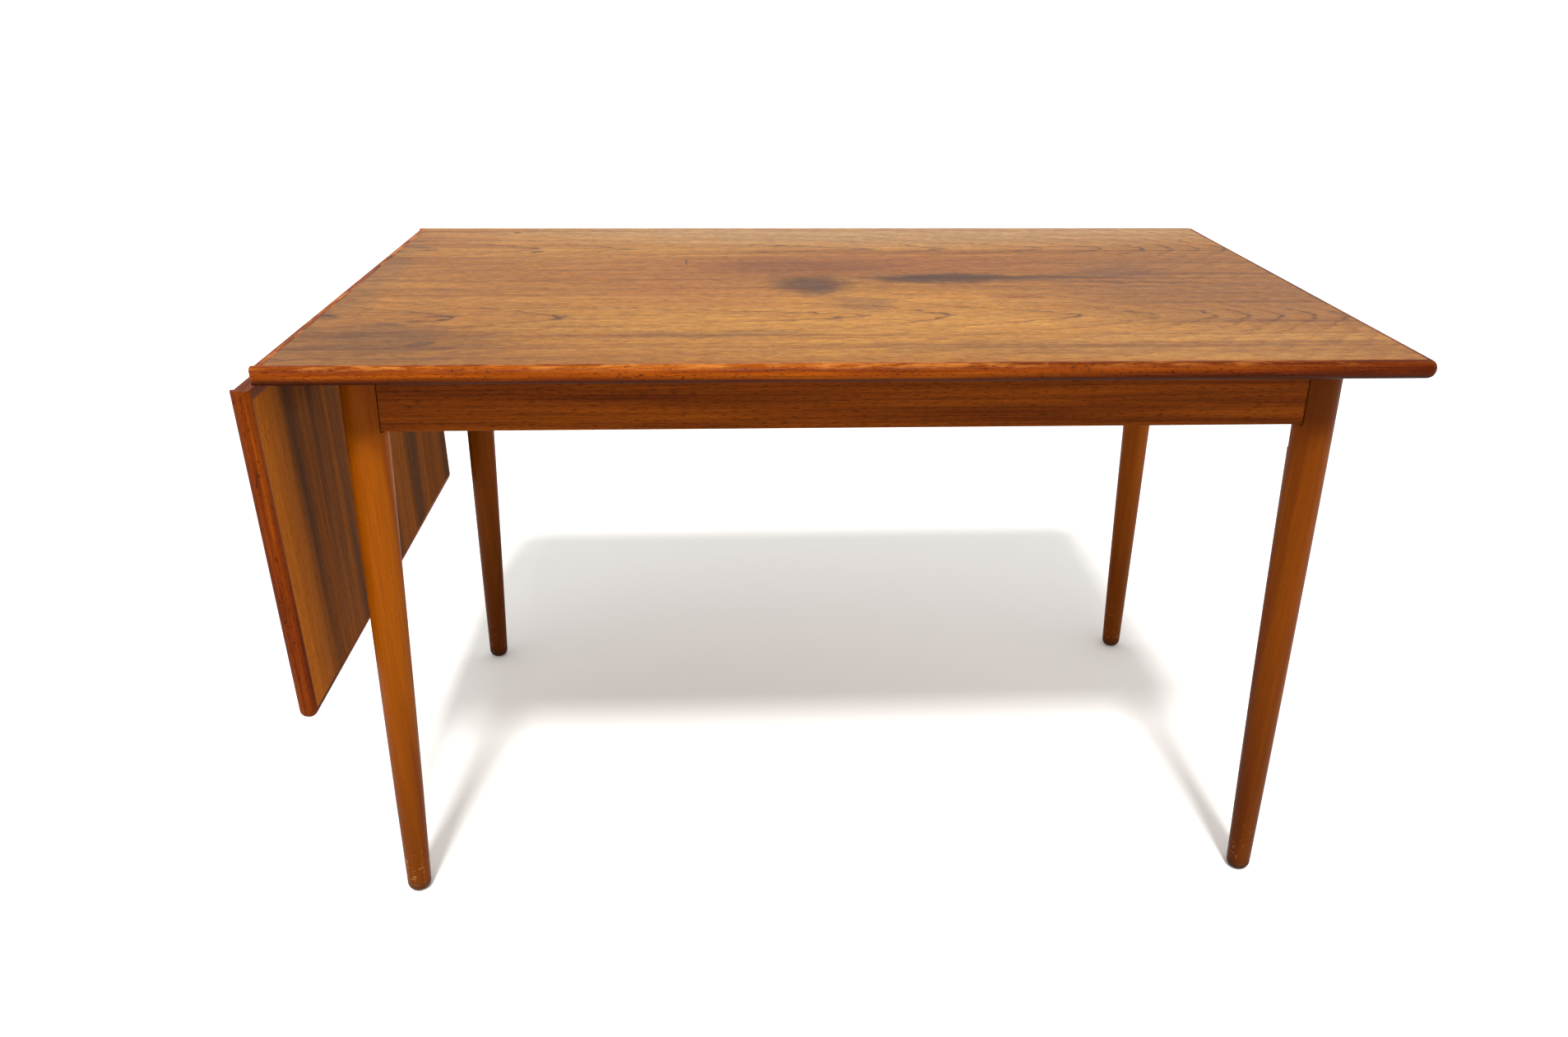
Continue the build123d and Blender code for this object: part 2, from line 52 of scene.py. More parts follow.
def linear(hexColour):
    # sRGB hex to linear light, with an alpha of 1
    parts = [int(hexColour[i:i + 2], 16) / 255 for i in (1, 3, 5)]
    return [c / 12.92 if c <= 0.04045 else ((c + 0.055) / 1.055) ** 2.4 for c in parts] + [1.0]


def grey(value):
    return [value, value, value, 1.0]


def addNode(tree, kind, inputs=(), out=0, stops=(), **settings):
    # one node with its settings; an input is a value or another node's socket; gives one output socket.
    # A word after the kind is its operation, as in "Math ADD".
    kind, _, operation = kind.partition(" ")
    node = tree.nodes.new("ShaderNode" + kind)
    if operation:
        node.operation = operation
    for name, value in settings.items():
        setattr(node, name, value)
    for key, value in (inputs.items() if isinstance(inputs, dict) else enumerate(inputs)):
        if isinstance(value, bpy.types.NodeSocket):
            tree.links.new(value, node.inputs[key])
        else:
            node.inputs[key].default_value = value
    while stops and len(node.color_ramp.elements) < len(stops):
        node.color_ramp.elements.new(0.5)
    for index, (position, colour) in enumerate(stops):
        node.color_ramp.elements[index].position = position
        node.color_ramp.elements[index].color = colour
    return node.outputs[out]


# turns that bring a board's grain to the X axis
grainTurn = {"x": (0, 0, 0), "y": (0, 0, -math.pi / 2), "z": (0, math.pi / 2, 0),
             "rising": (0, 0, -math.pi / 4), "falling": (0, 0, math.pi / 4)}


def grain(tree, board, length, width, detail=2.0, shift=0.0, rough=0.55):
    # noise drawn out along the board's first axis: a cell is length by width, in mm. The shift makes
    # one pattern differ from the next.
    scale = (1000 / length, 1000 / width, 1000 / width)
    spot = addNode(tree, "Mapping", {"Vector": board, "Scale": scale, "Location": (shift, shift, shift)})
    return addNode(tree, "TexNoise", {"Vector": spot, "Scale": 1.0, "Detail": detail, "Roughness": rough})


def stain(tree, colour, strength, shade, blend="MULTIPLY"):
    # lays a shade, as hex or as another node's colour, over the wood or metal where the strength is 1
    over = linear(shade) if isinstance(shade, str) else shade
    return addNode(tree, "Mix", {0: strength, 6: colour, 7: over}, out=2,
                   data_type="RGBA", blend_type=blend)


def shadeBy(tree, colour, pattern, *stops):
    # multiplies the colour by the colours of a ramp along a pattern
    return stain(tree, colour, 1.0, addNode(tree, "ValToRGB", [pattern], stops=stops))


plainWood = {
    "along": "x", "shift": 0.0,                  # which way the grain runs, and where it starts, in m
    "dark": "#6b3a14", "middle": "#9a5a26", "light": "#b9783c",
    # sizes in mm; an edge is where the noise goes from dark to clear, and a shade is how dark it gets
    "bandLength": 900, "bandWidth": 45, "bandReach": (0.30, 0.70),
    "streakLength": 260, "streakWidth": 4.5, "streakEdge": (0.33, 0.55), "streakShade": 0.12,
    "fibreLength": 45, "fibreWidth": 1.4, "fibreEdge": (0.35, 0.65), "fibreShade": 0.12,
    "poreLength": 9, "poreWidth": 1.1, "poreStart": 0.60, "poreSoft": 0.08,   # real pores are 0.3 mm wide
    "poreShade": 0.35,
    # on the legs this tone is painted shade
    "tone": "#ffffff",                           # laid over everything, for one board darker than the next
    "roughness": (0.36, 0.52),
    "specular": 0.08,                            # dry oil, so little gloss
    "bump": 0.10,                                # mm
}


def woodMaterial(name, changes, finish=None, ground=None):
    # ground changes the wood's colour under its grain, and finish is laid over the grain; either may hold
    # painted light or shade
    look = dict(plainWood, **changes)
    material = bpy.data.materials.new(name)
    material.use_nodes = True
    tree = material.node_tree
    tree.nodes.clear()
    place = addNode(tree, "TexCoord", out=3)
    board = addNode(tree, "Mapping", {
        "Vector": place, "Rotation": grainTurn[look["along"]], "Location": (look["shift"], 0.0, 0.0)})

    bands = grain(tree, board, look["bandLength"], look["bandWidth"], 3.0)
    low, high = look["bandReach"]
    colour = addNode(tree, "ValToRGB", [bands], stops=[
        (low, linear(look["dark"])),
        ((low + high) / 2, linear(look["middle"])),
        (high, linear(look["light"]))])
    if ground:
        colour = ground(tree, place, colour)
    streaks = grain(tree, board, look["streakLength"], look["streakWidth"], 3.0, 5.7)
    low, high = look["streakEdge"]
    colour = shadeBy(tree, colour, streaks, (low, grey(1 - 2 * look["streakShade"])), (high, grey(1.0)))
    fibre = grain(tree, board, look["fibreLength"], look["fibreWidth"], 3.0, 3.1, 0.65)
    low, high = look["fibreEdge"]
    colour = shadeBy(tree, colour, fibre, (low, grey(1 - 2 * look["fibreShade"])), (high, grey(1.0)))
    pore = grain(tree, board, look["poreLength"], look["poreWidth"], 1.0, 11.9)
    start, soft = look["poreStart"], look["poreSoft"]
    poreMask = addNode(tree, "MapRange", [pore, start, start + soft, 0.0, 1.0])
    colour = stain(tree, colour, addNode(tree, "Math MULTIPLY", [poreMask, look["poreShade"]]), "#000000")
    if finish:
        colour = finish(tree, place, board, colour)
    colour = stain(tree, colour, 1.0, look["tone"])

    smooth, matt = look["roughness"]
    roughness = addNode(tree, "MapRange", [fibre, 0.3, 0.7, smooth, matt])
    height = addNode(tree, "Math SUBTRACT", [fibre, poreMask])
    relief = addNode(tree, "Bump", {"Height": height, "Distance": look["bump"] / 1000})
    shader = addNode(tree, "BsdfPrincipled", {
        "Base Color": colour, "Roughness": roughness, "Normal": relief, "IOR": 1.5,
        "Specular IOR Level": look["specular"]})
    tree.links.new(shader, tree.nodes.new("ShaderNodeOutputMaterial").inputs["Surface"])
    return material


def paint(names, material):
    for name in names:
        nodes[name].data.materials.clear()
        nodes[name].data.materials.append(material)


# The veneered faces: two book-matched crown-cut sheets, mirrored about a joint behind the middle.
# A growth ring shows where  rings(x) + across * sqrt(v^2 + blunt^2)  is whole, v being the distance
# from the sheet's heart line, so each ring is a long arch whose tip points to the table's plain end.
veneerFigure = {
    "joint": 0.015, "heart": 0.19,      # m, the joint's place and its distance to each heart line
    "stagger": 0.04,                    # m, how far the rear sheet is slipped along the front one
    # m from the hinge joint to the tip of each arch, the leaf's below zero
    "tips": (-0.36, -0.17, 0.025, 0.165, 0.28, 0.645, 0.735, 0.895, 0.985, 1.05, 1.09, 1.13, 1.17, 1.205),
    "across": 25.0, "blunt": 0.011,     # rings per metre away from the heart line; tip's bluntness in m
    "wiggle": 0.026, "wiggleCell": (26, 13),   # m that an arch strays sideways, over cells in mm
    "wander": 0.5, "wanderCell": (170, 34),    # rings that it strays, over cells in mm
    "tipWidth": 0.0034, "tailWidth": 0.0013,   # m, half the dark line's width
    "lineEdge": (0.35, 1.3),            # shares of that width where the line starts to soften and ends
    "fade": 0.022,                      # m from the heart line over which the line thins
    "tailFrom": 0.02, "tailEnd": 0.13,  # m from the heart line, where its tails start to fade and end
    "boldness": 0.55, "tailStrength": (0.33, 0.04), "dark": "#452714",
    "brokenCell": (42, 9), "brokenEdge": (0.34, 0.58), "brokenStrength": (0.22, 1.0),
    "lateFrom": 0.45, "lateStrength": 0.5, "lateWood": "#e4d8cb",   # growing towards the next line
    "bandCell": (1300, 26), "bandEdge": (0.35, 0.5, 0.66), "bandTones": ("#dccfc4", "#ffffff", "#fff6dd"),
    "mottleCell": (16, 5), "mottleEdge": (0.36, 0.60), "mottleTones": ("#e0d4ca", "#ffffff"),
    "hairline": (0.0004, 0.0022), "hairlineColour": "#6f4a30",   # m, half the joint's width, sharp and soft
    "hairlineFrom": -0.25, "hairlineTo": 0.55, "hairlineStrength": (0.08, 0.7),   # it opens towards +X
}
# old marks, and a painted reflection at the rear: centre and half size in m, turn in radians, strength and
# the colour laid over
veneerMarks = {
    "goldenFront": (0.02, -0.20, 0.50, 0.17, 0.0, 0.50, "#d69a42"),
    "goldenRearLeft": (-0.30, 0.24, 0.28, 0.14, 0.0, 0.55, "#c68c3e"),
    "rightEnd": (0.50, -0.03, 0.30, 0.30, 0.0, 0.65, "#966332"),
    # painted reflection: the rear of the top is paler and greyer where light glances off it
    "paintedSheenRear": (0.12, 0.36, 0.72, 0.16, 0.0, 0.62, "#c6a478"),
    "leftEnd": (-0.60, 0.0, 0.06, 0.40, 0.0, 0.45, "#85623a"),
    "leftShade": (-0.50, -0.31, 0.20, 0.09, 0.10, 0.50, "#865a2c"),
    "redZone": (0.06, 0.10, 0.32, 0.085, 0.0, 0.60, "#a05e2e"),
    "brownPatch": (-0.01, 0.085, 0.16, 0.060, 0.0, 0.60, "#824b22"),
    "greyOval": (-0.018, -0.020, 0.056, 0.064, 0.0, 0.90, "#5f3c24"),
    "smear": (0.155, 0.016, 0.115, 0.034, 0.0, 0.95, "#5a371f"),
    "smearTail": (0.27, 0.020, 0.16, 0.012, 0.0, 0.75, "#5e3c24"),
    "jointStreak": (0.38, -0.004, 0.26, 0.007, -0.10, 0.65, "#6e4626"),
    "rightRing": (0.41, 0.055, 0.065, 0.055, 0.0, 0.50, "#80543a"),
    "middleRing": (0.042, -0.12, 0.050, 0.045, 0.0, 0.50, "#865c3c"),
    "leftRing": (-0.493, -0.26, 0.085, 0.07, 0.0, 0.50, "#7c5630"),
    "redSpot": (0.232, -0.085, 0.035, 0.016, 0.0, 0.65, "#944c26"),
    "pinkSpot": (-0.27, 0.07, 0.10, 0.11, 0.0, 0.35, "#b46e30"),
    "goldenCorner": (0.40, -0.30, 0.24, 0.08, 0.0, 0.50, "#cc964c"),
    "pinkFront": (-0.16, -0.06, 0.14, 0.09, 0.0, 0.40, "#ac6a30"),
    "greyStreak": (-0.138, -0.252, 0.15, 0.016, 0.05, 0.40, "#785432"),
    "frontStreak": (0.25, -0.30, 0.40, 0.020, 0.02, 0.40, "#946430"),
}
# scratches and flecks have hard edges, and are given by the same numbers
veneerNicks = {
    "crossScratch": (-0.179, 0.118, 0.0013, 0.019, 0.04, 0.75, "#3e2414"),
    "rearFleck": (-0.393, 0.185, 0.010, 0.007, 0.5, 0.75, "#4a2f1c"),
    "rearDot": (-0.443, 0.325, 0.006, 0.007, 0.0, 0.70, "#4a2f1c"),
    "frontFleck": (-0.448, -0.170, 0.020, 0.0045, 0.0, 0.70, "#4a2f1c"),
    "frontDash": (-0.498, -0.205, 0.022, 0.004, -0.2, 0.65, "#4a2f1c"),
    "frontHook": (-0.448, -0.285, 0.017, 0.008, 0.4, 0.65, "#4a2f1c"),
}
# stir is how far, in m, the outline strays; core is the share of the half size at full strength
markEdge = {"stir": 0.05, "core": 0.35}
nickEdge = {"stir": 0.006, "core": 0.7}


def ringsAlong(tree, along):
    # how many tips lie before this place along the sheet, and how many there are to a metre there
    tips = veneerFigure["tips"]
    count = len(tips) - 1
    t = addNode(tree, "MapRange", [along, jointX + tips[0], jointX + tips[-1], 0.0, 1.0])
    places = [(tip - tips[0]) / (tips[-1] - tips[0]) for tip in tips]
    passed = addNode(tree, "ValToRGB", [t], stops=[(p, grey(i / count)) for i, p in enumerate(places)])
    crowding = [1 / (after - before) for before, after in zip(tips, tips[1:])]
    most = max(crowding)
    crowd = addNode(tree, "ValToRGB", [t], stops=[(p, grey(c / most)) for p, c in zip(places, crowding)])
    crowd.node.color_ramp.interpolation = "CONSTANT"
    return addNode(tree, "Math MULTIPLY", [passed, count]), addNode(tree, "Math MULTIPLY", [crowd, most])


def bookMatched(tree, place, board, colour):
    figure = veneerFigure
    axes = addNode(tree, "SeparateXYZ", [board]).node.outputs
    side = addNode(tree, "Math SUBTRACT", [axes["Y"], figure["joint"]])
    rear = addNode(tree, "Math GREATER_THAN", [side, 0.0])
    along = addNode(tree, "Math MULTIPLY_ADD", [rear, -figure["stagger"], axes["X"]])
    out = addNode(tree, "Math ABSOLUTE", [side])
    apart = addNode(tree, "Math MULTIPLY_ADD", [rear, 0.7, out])   # the rear sheet has noise of its own
    sheet = addNode(tree, "CombineXYZ", [along, apart, 0.0])
    wiggle = addNode(tree, "Math SUBTRACT", [grain(tree, sheet, *figure["wiggleCell"], 2.0, 8.1), 0.5])
    fromHeart = addNode(tree, "Math SUBTRACT", [out, figure["heart"]])
    v = addNode(tree, "Math MULTIPLY_ADD", [wiggle, figure["wiggle"], fromHeart])
    square = addNode(tree, "Math MULTIPLY", [v, v])
    blunted = addNode(tree, "Math ADD", [square, figure["blunt"] ** 2])
    distance = addNode(tree, "Math SQRT", [blunted])

    # the ring count here, and how fast it rises, give the metres to the nearest ring
    rings, ringsPerMetre = ringsAlong(tree, along)
    wander = grain(tree, sheet, *figure["wanderCell"], 3.0, 2.3)
    phase = addNode(tree, "Math MULTIPLY_ADD", [distance, figure["across"], rings])
    phase = addNode(tree, "Math MULTIPLY_ADD", [wander, figure["wander"], phase])
    start = figure["across"] * figure["blunt"] + figure["wander"] / 2
    phase = addNode(tree, "Math SUBTRACT", [phase, start])
    climb = addNode(tree, "Math MULTIPLY", [v, figure["across"]])
    slopeOut = addNode(tree, "Math DIVIDE", [climb, distance])
    gradient = addNode(tree, "CombineXYZ", [ringsPerMetre, slopeOut, 0.0])
    slope = addNode(tree, "VectorMath LENGTH", [gradient], out=1)
    fromRing = addNode(tree, "Math PINGPONG", [phase, 0.5])
    nearest = addNode(tree, "Math DIVIDE", [fromRing, slope])

    # each ring's line is bold at its tip, thins along its tails and is broken here and there
    thinning = addNode(tree, "Math MULTIPLY_ADD", [square, 1 / figure["fade"] ** 2, 1.0])
    bold = addNode(tree, "Math POWER", [thinning, -0.75])
    tip, tail = figure["tipWidth"], figure["tailWidth"]
    width = addNode(tree, "Math MULTIPLY_ADD", [bold, tip - tail, tail])
    widths = addNode(tree, "Math DIVIDE", [nearest, width])
    line = addNode(tree, "MapRange", [widths, *figure["lineEdge"], 1.0, 0.0])
    gaps = grain(tree, sheet, *figure["brokenCell"], 2.0, 4.4)
    broken = addNode(tree, "MapRange", [gaps, *figure["brokenEdge"], *figure["brokenStrength"]])
    outwards = addNode(tree, "Math ABSOLUTE", [v])
    fading = addNode(tree, "MapRange", [
        outwards, figure["tailFrom"], figure["tailEnd"], *figure["tailStrength"]])
    depth = addNode(tree, "Math MULTIPLY_ADD", [bold, figure["boldness"], fading])
    strength = addNode(tree, "Math MULTIPLY", [line, addNode(tree, "Math MULTIPLY", [broken, depth])])

    sinceRing = addNode(tree, "Math FRACT", [phase])
    late = addNode(tree, "MapRange", [sinceRing, figure["lateFrom"], 1.0, 0.0, figure["lateStrength"]])
    colour = stain(tree, colour, late, figure["lateWood"])
    colour = stain(tree, colour, strength, figure["dark"], "MIX")
    bands = grain(tree, sheet, *figure["bandCell"], 3.0, 6.2)
    colour = shadeBy(tree, colour, bands, *zip(figure["bandEdge"], map(linear, figure["bandTones"])))
    mottle = grain(tree, sheet, *figure["mottleCell"], 3.0, 13.7, 0.7)
    colour = shadeBy(tree, colour, mottle, *zip(figure["mottleEdge"], map(linear, figure["mottleTones"])))
    hairline = addNode(tree, "MapRange", [out, *figure["hairline"], 1.0, 0.0])
    opening = addNode(tree, "MapRange", [
        axes["X"], figure["hairlineFrom"], figure["hairlineTo"], *figure["hairlineStrength"]])
    gap = addNode(tree, "Math MULTIPLY", [hairline, opening])
    return stain(tree, colour, gap, figure["hairlineColour"])


def layMarks(tree, place, marks, edge, colour):
    # Ovals that fade outwards from their core. Cloudy noise pushes the place about by up to the stir,
    # so that an oval gets an uneven outline.
    clouds = addNode(tree, "TexNoise", {
        "Vector": place, "Scale": 20.0, "Detail": 5.0, "Roughness": 0.6}, out=1)
    push = addNode(tree, "VectorMath SUBTRACT", [clouds, (0.5, 0.5, 0.5)])
    reach = (edge["stir"], edge["stir"], 0.0)
    stirred = addNode(tree, "VectorMath MULTIPLY_ADD", [push, reach, place])
    for x, y, halfX, halfY, turn, strength, shade in marks.values():
        oval = addNode(tree, "Mapping", {
            "Vector": stirred, "Location": (x, y, topLevel), "Rotation": (0.0, 0.0, turn),
            "Scale": (halfX, halfY, 1.0)}, vector_type="TEXTURE")
        distance = addNode(tree, "VectorMath LENGTH", [oval], out=1)
        factor = addNode(tree, "MapRange", [distance, edge["core"], 1.2, strength, 0.0],
                         interpolation_type="SMOOTHSTEP")
        colour = stain(tree, colour, factor, shade, "MIX")
    return colour


def markedGround(tree, place, colour):
    return layMarks(tree, place, veneerMarks, markEdge, colour)


def nickedTop(tree, place, board, colour):
    return layMarks(tree, place, veneerNicks, nickEdge, bookMatched(tree, place, board, colour))


# The worn upper arris of the top's lippings shows pale, bare wood in patches. Painted shade darkens their
# lower half, which faces down, and their plain end, where less light falls. Depths below the top and places
# along it in m, patches in mm.
arris = {
    "start": 0.0050, "full": 0.0010, "bare": "#b8702f",
    "patchLength": 42, "patchWidth": 7, "patchEdge": (0.46, 0.64), "patchStrength": 0.85,
    "lowShadeFrom": 0.0085, "lowShadeTo": 0.0160, "lowShade": "#807469",
    "endShadeFrom": 0.0, "endShadeTo": 0.62, "endShade": "#b4a28e",
}
# small dark knocks
dents = {"length": 7, "width": 4, "edge": (0.66, 0.72), "strength": 0.6, "colour": "#4a2410"}


def dented(tree, place, board, colour):
    knocks = grain(tree, board, dents["length"], dents["width"], 2.0, 15.3)
    dent = addNode(tree, "MapRange", [knocks, *dents["edge"], 0.0, dents["strength"]])
    return stain(tree, colour, dent, dents["colour"])


def wornArrisAndShade(tree, place, board, colour):
    axes = addNode(tree, "SeparateXYZ", [place]).node.outputs
    depth = addNode(tree, "Math SUBTRACT", [topLevel, axes["Z"]])
    # painted shade on the lower half of the lipping
    low = addNode(tree, "MapRange", [depth, arris["lowShadeFrom"], arris["lowShadeTo"], 0.0, 1.0])
    colour = stain(tree, colour, low, arris["lowShade"])
    near = addNode(tree, "MapRange", [depth, arris["start"], arris["full"], 0.0, 1.0])
    patches = grain(tree, board, arris["patchLength"], arris["patchWidth"], 4.0, 9.4, 0.7)
    patch = addNode(tree, "MapRange", [patches, *arris["patchEdge"], 0.0, arris["patchStrength"]])
    worn = addNode(tree, "Math MULTIPLY", [near, patch])
    colour = stain(tree, colour, worn, arris["bare"], "MIX")
    # painted shade towards the plain end
    plainEndShade = addNode(tree, "MapRange", [axes["X"], arris["endShadeFrom"], arris["endShadeTo"], 0.0, 1.0])
    return dented(tree, place, board, stain(tree, colour, plainEndShade, arris["endShade"]))


# Oiled teak veneer: golden brown, open pored, nearly matt, figured in long arches
faceLook = {"dark": "#9a6222", "middle": "#b0742a", "light": "#c08434", "bandWidth": 70,
            "streakShade": 0.09, "fibreWidth": 2.2, "fibreShade": 0.17, "poreShade": 0.34,
            "poreStart": 0.57, "specular": 0.09}
paint(["top_veneer"], woodMaterial("oiledTeakVeneerTop", faceLook, nickedTop, markedGround))
leafFaceLook = dict(faceLook, along="z", shift=leafShift)
paint(["leaf_veneer"], woodMaterial("oiledTeakVeneerLeaf", leafFaceLook, bookMatched))

# The undersides are backed with plainer, greyer and browner teak in straight stripes, and never oiled
backLook = {"dark": "#5f402e", "middle": "#8c5228", "light": "#a8642c", "bandWidth": 62,
            "bandLength": 1500, "bandReach": (0.33, 0.67), "streakShade": 0.08, "specular": 0.0,
            "roughness": (0.55, 0.7)}
paint(["top_backing_veneer"], woodMaterial("dryTeakBackingTop", backLook))

# painted light: the strip of the leaf's underside nearest its front edge, which light reaches past the top,
# is painted brighter and golden; places in m
litLeafEdge = {"from": -0.295, "to": -0.335, "strength": 0.5, "colour": "#b4641a"}


def litGoldenEdge(tree, place, colour):
    across = addNode(tree, "SeparateXYZ", [place], out=1)
    # painted light on the strip near the front edge
    edge = addNode(tree, "MapRange", [across, litLeafEdge["from"], litLeafEdge["to"], 0.0, litLeafEdge["strength"]])
    return stain(tree, colour, edge, litLeafEdge["colour"], "MIX")


leafBackLook = dict(backLook, along="z", shift=leafShift)
paint(["leaf_backing_veneer"], woodMaterial("dryTeakBackingLeaf", leafBackLook, ground=litGoldenEdge))

# Oiled solid teak: redder and darker than the veneer, with short dark pores and worn arrises
lippingLook = {"dark": "#672603", "middle": "#863a02", "light": "#a04f05", "bandWidth": 8,
               "bandLength": 320, "streakWidth": 2.4, "streakShade": 0.18, "poreLength": 6,
               "poreShade": 0.5, "specular": 0.04}
# the wear on the top's lippings carries painted shade as well
lippings = [   # the board, which way the grain runs, the edges where it does, the wear and the tone
    ("top", "x", ("front", "rear"), wornArrisAndShade, "#ffffff"),
    ("top", "y", ("end", "joint"), wornArrisAndShade, "#ffffff"),
    ("leaf", "z", ("front", "rear"), dented, "#e0d8d0"),
    ("leaf", "y", ("end", "joint"), dented, "#e0d8d0"),
]
for board, along, edges, wear, tone in lippings:
    look = dict(lippingLook, along=along, tone=tone)
    paint([f"{board}_{edge}_lipping" for edge in edges],
          woodMaterial(f"oiledSolidTeak_{board}_{along}", look, wear))

# Oiled teak aprons: dark, with fine dashes along the grain
apronLook = {"dark": "#5c2603", "middle": "#703304", "light": "#843f06", "bandWidth": 9,
             "bandLength": 420, "streakWidth": 2.2, "streakShade": 0.14, "poreLength": 11,
             "poreShade": 0.42, "poreStart": 0.56, "specular": 0.03}
for along, names in (("x", ["front_apron", "rear_apron"]), ("y", ["left_apron", "right_apron"])):
    paint(names, woodMaterial("oiledTeakApron_" + along, dict(apronLook, along=along)))

# The feet are darkened where they meet the floor, with pale scuffs above. Painted shade darkens each
# leg's head under the top, where the top's shadow falls, and darkens the leg again towards the feet.
# Heights in m, a scuff's size in mm.
foot = {
    "dirtTop": 0.016, "dirt": "#3a2412", "dirtStrength": 0.75, "raggedness": 0.012,
    "scuffTop": 0.10, "scuffSize": (9, 5), "scuffEdge": (0.60, 0.70), "scuff": "#c08a55",
    "scuffStrength": 0.55,
    "headShadeFrom": 0.622, "headShadeTo": 0.648, "headShade": "#d4cdc5",
    "footShadeFrom": 0.45, "footShadeTo": 0.05, "footShade": "#cbc8c4",
}


def wornFootAndShade(tree, place, board, colour):
    height = addNode(tree, "SeparateXYZ", [place], out=2)
    # painted shade: the top's shadow over the leg's head, then a darkening towards the feet
    for start, full, tone in (("headShadeFrom", "headShadeTo", "headShade"), ("footShadeFrom", "footShadeTo", "footShade")):
        strength = addNode(tree, "MapRange", [height, foot[start], foot[full], 0.0, 1.0],
                           interpolation_type="SMOOTHSTEP")
        colour = stain(tree, colour, strength, foot[tone])
    scuffs = grain(tree, place, *foot["scuffSize"], 3.0, 1.9)
    low = addNode(tree, "MapRange", [height, 0.0, foot["scuffTop"], 1.0, 0.0])
    scuffed = addNode(tree, "MapRange", [scuffs, *foot["scuffEdge"], 0.0, foot["scuffStrength"]])
    colour = stain(tree, colour, addNode(tree, "Math MULTIPLY", [low, scuffed]), foot["scuff"], "MIX")
    ragged = addNode(tree, "Math MULTIPLY_ADD", [scuffs, -foot["raggedness"], height])
    dirt = addNode(tree, "MapRange", [ragged, 0.0, foot["dirtTop"], foot["dirtStrength"], 0.0])
    return stain(tree, colour, dirt, foot["dirt"], "MIX")


# Stained, lacquered beech legs: smooth and even, with a soft sheen; each leg's tone is a painted shade,
# darker where less light reaches that leg
legLook = {"along": "z", "dark": "#7b3902", "middle": "#874302", "light": "#924c05", "bandWidth": 14,
           "bandLength": 500, "streakWidth": 3, "streakShade": 0.06, "fibreShade": 0.05,
           "poreLength": 4, "poreWidth": 1.0, "poreShade": 0.18, "roughness": (0.34, 0.44),
           "bump": 0.03, "specular": 0.035}
legShadeTones = {"front_left": "#ffffff", "front_right": "#cdc6c0",
            "rear_left": "#c4c0bb", "rear_right": "#e6e2de"}
for corner, tone in legShadeTones.items():
    paint([corner + "_leg"], woodMaterial("stainedBeech_" + corner, dict(legLook, tone=tone), wornFootAndShade))

# Bare planed beech: pale pinkish tan with tiny flecks
beechLook = {"dark": "#a5805a", "middle": "#b8946a", "light": "#c5a67d", "poreShade": 0.2,
             "poreLength": 3, "poreWidth": 1.2, "streakShade": 0.05, "roughness": (0.5, 0.65)}
bareBeech = {
    "x": ["front_slide", "rear_slide", "top_buttons"],
    "y": ["cross_rail", "cross_rail_dowels"],
    "z": ["front_slide_pegs", "rear_slide_pegs"],
    "rising": ["front_right_corner_block", "rear_left_corner_block"],
    "falling": ["front_left_corner_block", "rear_right_corner_block"],
}
for along, names in bareBeech.items():
    paint(names, woodMaterial("planedBeech_" + along, dict(beechLook, along=along)))

# Pressed chip core: pale chips of 4 mm laid every way, seen only where the board is drilled
coreLook = {"dark": "#8f7550", "middle": "#b39a70", "light": "#cdb78c", "bandLength": 9,
            "bandWidth": 4, "streakLength": 14, "streakWidth": 3, "streakShade": 0.2,
            "fibreLength": 5, "fibreWidth": 2, "roughness": (0.75, 0.9), "specular": 0.05,
            "bump": 0.3}
paint(["top_core", "leaf_core"], woodMaterial("pressedChipCore", coreLook))
print("wood done")

# Bright metal that has dulled in patches, over fine brush lines
plainMetal = {
    "colour": "#babdc2", "dull": "#8d8f93", "dullReach": (0.42, 0.66), "dullSize": 8,   # mm
    "brushLength": 14, "brushWidth": 0.7,        # real brush lines are 0.1 mm apart
    "roughness": (0.27, 0.50), "bump": 0.02,     # mm
}


def metalMaterial(name, changes):
    look = dict(plainMetal, **changes)
    material = bpy.data.materials.new(name)
    material.use_nodes = True
    tree = material.node_tree
    tree.nodes.clear()
    place = addNode(tree, "TexCoord", out=3)
    turned = addNode(tree, "Mapping", {"Vector": place, "Rotation": grainTurn["y"]})
    patches = grain(tree, place, look["dullSize"], look["dullSize"], 4.0)
    dulled = addNode(tree, "MapRange", [patches, *look["dullReach"], 0.0, 1.0])
    colour = stain(tree, linear(look["colour"]), dulled, look["dull"], "MIX")
    brush = grain(tree, turned, look["brushLength"], look["brushWidth"], 2.0, 4.0)
    colour = shadeBy(tree, colour, brush, (0.35, grey(0.82)), (0.6, grey(1.0)))
    uneven = addNode(tree, "Math ADD", [dulled, brush])
    roughness = addNode(tree, "MapRange", [uneven, 0.3, 1.5, *look["roughness"]])
    relief = addNode(tree, "Bump", {"Height": brush, "Distance": look["bump"] / 1000})
    shader = addNode(tree, "BsdfPrincipled", {
        "Base Color": colour, "Metallic": 1.0, "Roughness": roughness, "Normal": relief})
    tree.links.new(shader, tree.nodes.new("ShaderNodeOutputMaterial").inputs["Surface"])
    return material


# Pressed brass, gone brown with age; zinc-plated steel, grey and a little yellow
agedBrass = metalMaterial("agedPressedBrass", {
    "colour": "#d9b265", "dull": "#9c7740", "dullSize": 11, "roughness": (0.35, 0.6)})
zincSteel = metalMaterial("zincPlatedSteel", {"colour": "#b9bab6", "dull": "#94907f"})
paint([n for n in nodes if "_hinge_plate_" in n] + ["hinge_pins"], agedBrass)
paint(["washers"], zincSteel)

